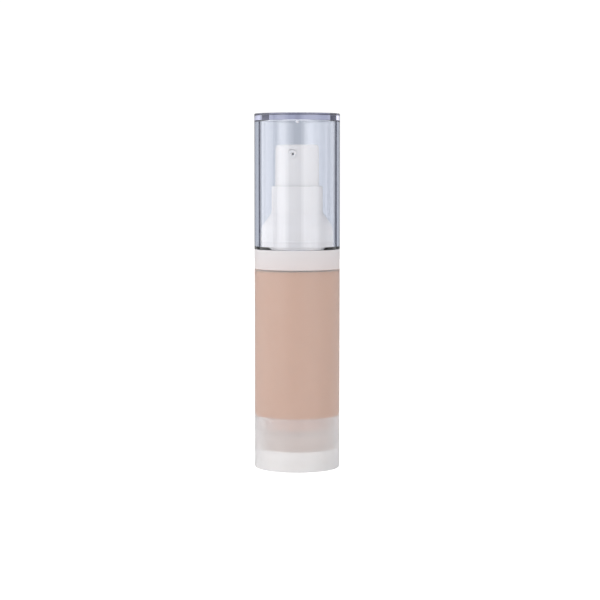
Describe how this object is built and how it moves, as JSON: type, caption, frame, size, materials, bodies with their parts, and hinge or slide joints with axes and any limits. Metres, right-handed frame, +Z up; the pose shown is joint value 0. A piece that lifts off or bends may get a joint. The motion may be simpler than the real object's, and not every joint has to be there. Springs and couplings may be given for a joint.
{
  "type": "airless pump foundation bottle",
  "caption": "Slim round airless pump bottle: clear overcap, push button with side nozzle, bell collar, frosted body filled with beige foundation over a follower piston.",
  "frame": {"origin": "bottom centre of the bottle, on the plane it stands on", "axes": "+Z up along the bottle's axis; the nozzle faces -Y; +X to the right seen from the nozzle's side"},
  "size_m": [0.03, 0.03, 0.1246],
  "materials": {
    "clear_cap": "clear polished styrene plastic, faintly blue-grey",
    "white_gloss": "white moulded polypropylene, soft gloss",
    "white_satin": "off-white moulded polypropylene, satin, faintly pink",
    "frosted_wall": "frosted translucent polypropylene",
    "soft_white": "soft white polyethylene",
    "foundation": "smooth beige cream, wet against the wall",
    "gasket": "foamed soft plastic",
    "natural_plastic": "natural translucent polypropylene",
    "steel": "drawn stainless steel"
  },
  "bodies": {
    "bottle_assembly": {"bottle": "frosted_wall", "base_plug": "white_gloss", "shoulder_ring": "white_satin", "collar": "white_gloss", "snap_closure": "white_satin", "neck_gasket": "gasket", "pump_housing": "natural_plastic", "stem_guide": "natural_plastic", "foundation_fill": "foundation", "return_spring": "steel"},
    "cap": {"overcap": "clear_cap"},
    "stem_assembly": {"stem": "natural_plastic", "plunger": "natural_plastic"},
    "button": {"actuator": "white_gloss", "nozzle_insert": "white_gloss"},
    "piston_seal": {"dosing_piston": "soft_white"},
    "follower": {"follower_piston": "soft_white"},
    "ball": {"inlet_ball": "steel"}
  },
  "joints": [
    {"name": "cap_lift", "type": "slide", "parent": "bottle_assembly", "child": "cap", "axis": [0, 0, 1], "range_m": [0, 0.045]},
    {"name": "actuator_press", "type": "slide", "parent": "bottle_assembly", "child": "stem_assembly", "axis": [0, 0, -1], "range_m": [0, 0.0045], "stiffness_N_per_m": 1500, "springref_m": -0.003, "deforming": ["return_spring"]},
    {"name": "actuator_turn", "type": "hinge", "parent": "stem_assembly", "child": "button", "pos_m": [0, 0, 0.1], "axis": [0, 0, 1], "continuous": true},
    {"name": "piston_shift", "type": "slide", "parent": "stem_assembly", "child": "piston_seal", "axis": [0, 0, 1], "range_m": [0, 0.001]},
    {"name": "follower_rise", "type": "slide", "parent": "bottle_assembly", "child": "follower", "axis": [0, 0, 1], "range_m": [0, 0.05], "deforming": ["foundation_fill"]},
    {"name": "ball_lift", "type": "slide", "parent": "bottle_assembly", "child": "ball", "axis": [0, 0, 1], "range_m": [0, 0.0009]}
  ]
}
